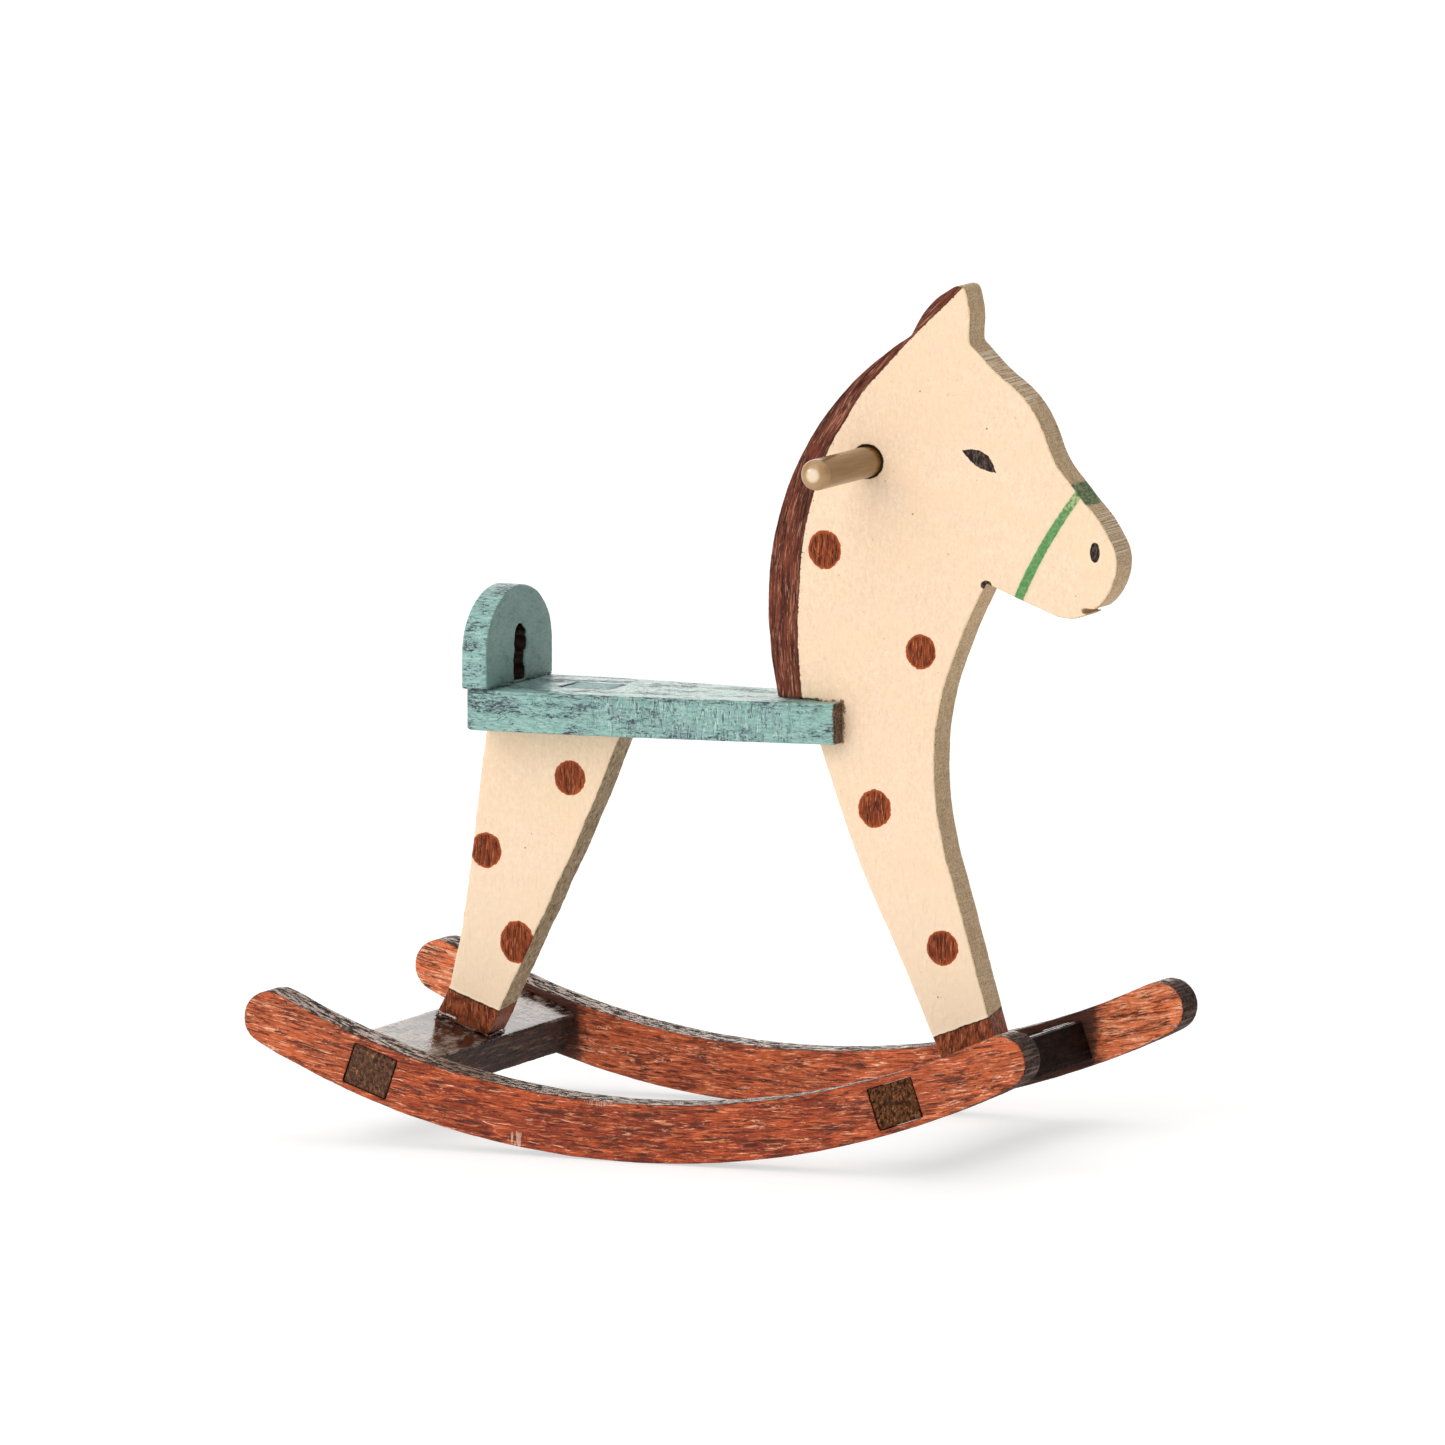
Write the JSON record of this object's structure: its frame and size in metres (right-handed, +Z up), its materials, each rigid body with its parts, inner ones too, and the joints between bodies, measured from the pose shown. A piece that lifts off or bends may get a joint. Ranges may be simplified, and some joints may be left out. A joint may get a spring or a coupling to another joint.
{
  "type": "rocking horse",
  "caption": "Doll's rocking horse of flat painted boards: profile head and legs, lapped seat with arched backrest, handle dowel, two curved rockers joined by crossbars.",
  "frame": {"origin": "on the floor, at the centre of the footprint box, under the middle of the rockers", "axes": "+X the way the horse faces, +Y its left, +Z up"},
  "size_m": [0.109, 0.058, 0.11],
  "materials": {
    "cream_paint": "brushed cream paint on fine board, bare taupe edges, red-brown mane, spots and hooves",
    "teal_paint": "distressed teal paint with dark specks",
    "red_stain": "red-brown stain with dark edges",
    "dark_stain": "glossy dark brown stain",
    "bare_dowel": "varnished bare wood"
  },
  "bodies": {
    "root": {"horse_board": "cream_paint", "rear_leg": "cream_paint", "seat": "teal_paint", "backrest": "teal_paint", "rocker_left": "red_stain", "rocker_right": "red_stain", "crossbar_front": "dark_stain", "crossbar_rear": "dark_stain", "handle_dowel": "bare_dowel", "backrest_pin_left": "bare_dowel", "backrest_pin_right": "bare_dowel"}
  },
  "joints": []
}
